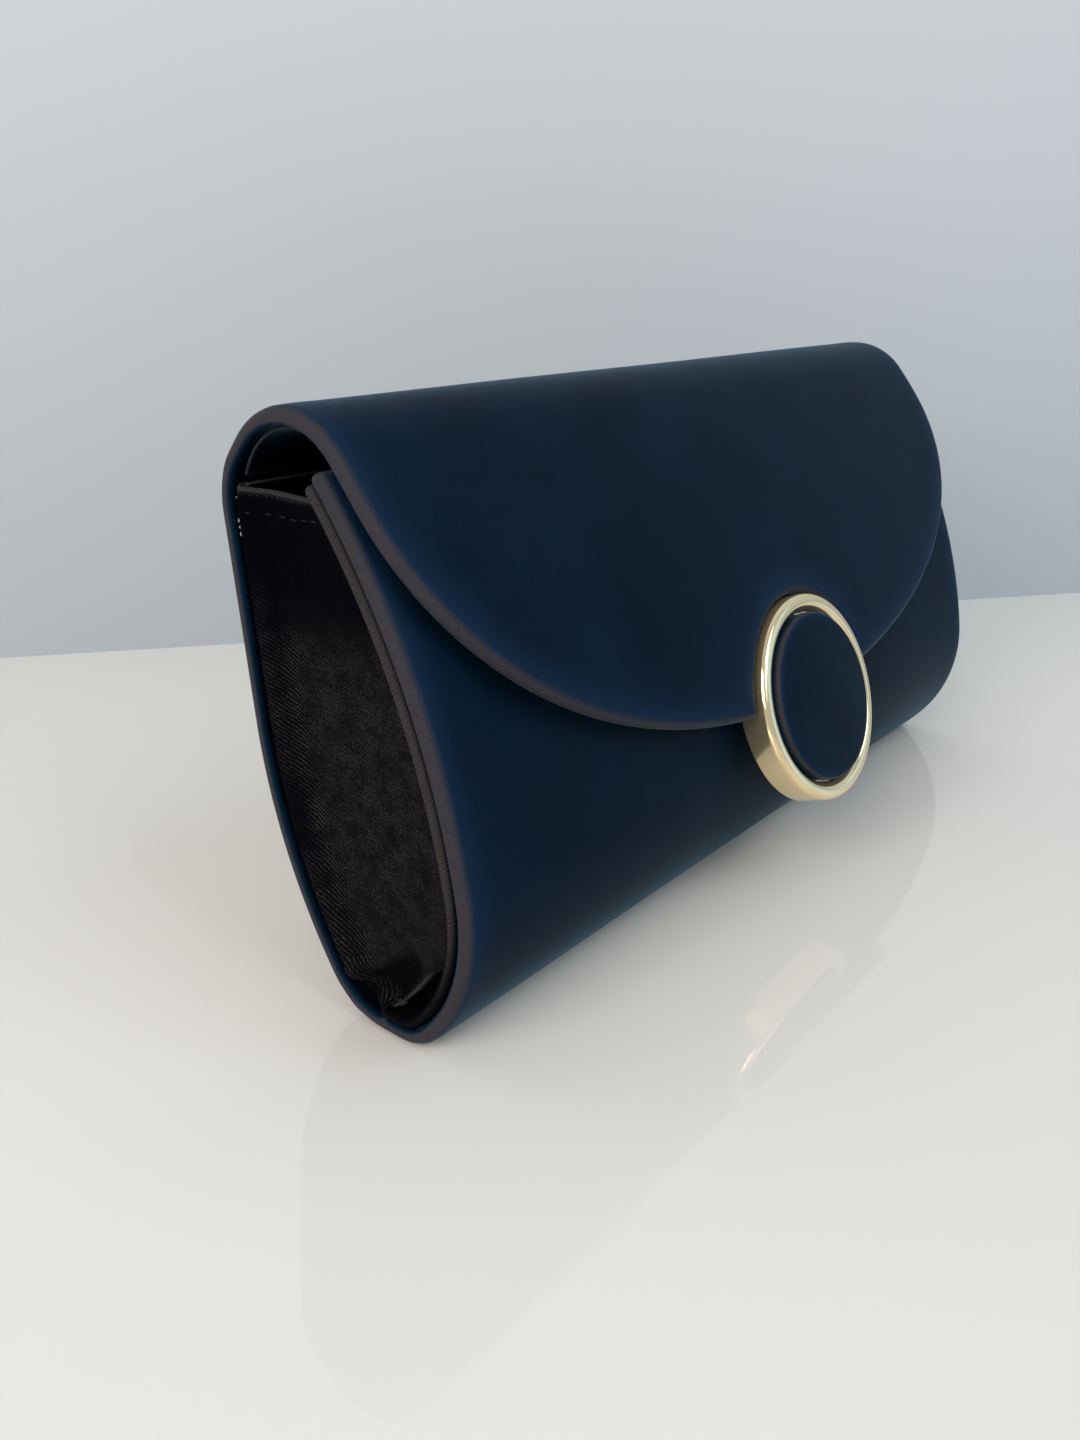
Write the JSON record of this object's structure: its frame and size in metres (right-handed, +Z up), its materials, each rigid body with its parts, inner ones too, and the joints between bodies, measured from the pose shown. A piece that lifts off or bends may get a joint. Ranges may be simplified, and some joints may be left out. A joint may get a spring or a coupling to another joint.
{
  "type": "clutch purse",
  "caption": "Structured satin evening clutch with a rounded base, soft end gussets and an arched half-ellipse flap closed by a round metal ring clasp with a magnetic snap.",
  "frame": {"origin": "middle of the flat strip that the purse stands on", "axes": "+X along the purse, -Y towards the front with the ring clasp, +Z up"},
  "size_m": [0.216, 0.0747, 0.1134],
  "materials": {
    "satin": "dark navy satin, soft sheen, fine weave",
    "twill": "near-black fine diagonal twill",
    "lining": "black-navy lining satin",
    "padding": "thin white fleece padding",
    "board": "pressed grey board",
    "gold": "polished pale gold plating",
    "snap_metal": "plated pressed metal",
    "magnet": "sintered ferrite",
    "disc": "moulded disc"
  },
  "bodies": {
    "body": {"body_cover": "satin", "body_foam": "padding", "front_board": "board", "base_board": "board", "back_board": "board", "front_inner_panel": "lining", "back_inner_panel": "lining", "gusset_left": "twill", "gusset_right": "twill", "gusset_lining_left": "lining", "gusset_lining_right": "lining", "snap_socket": "snap_metal", "snap_magnet": "magnet", "snap_washer": "snap_metal"},
    "flap": {"flap_cover": "satin", "flap_foam": "padding", "flap_board": "board", "flap_lining": "lining", "clasp_ring": "gold", "clasp_back_plate": "snap_metal", "clasp_rivets": "snap_metal", "snap_stud": "snap_metal", "button_cover": "satin", "button_core": "disc"}
  },
  "joints": [
    {"name": "flap_hinge", "type": "hinge", "parent": "body", "child": "flap", "pos_m": [0, 0.035, 0.10141], "axis": [-1, 0, 0], "range_deg": [0, 150]}
  ]
}
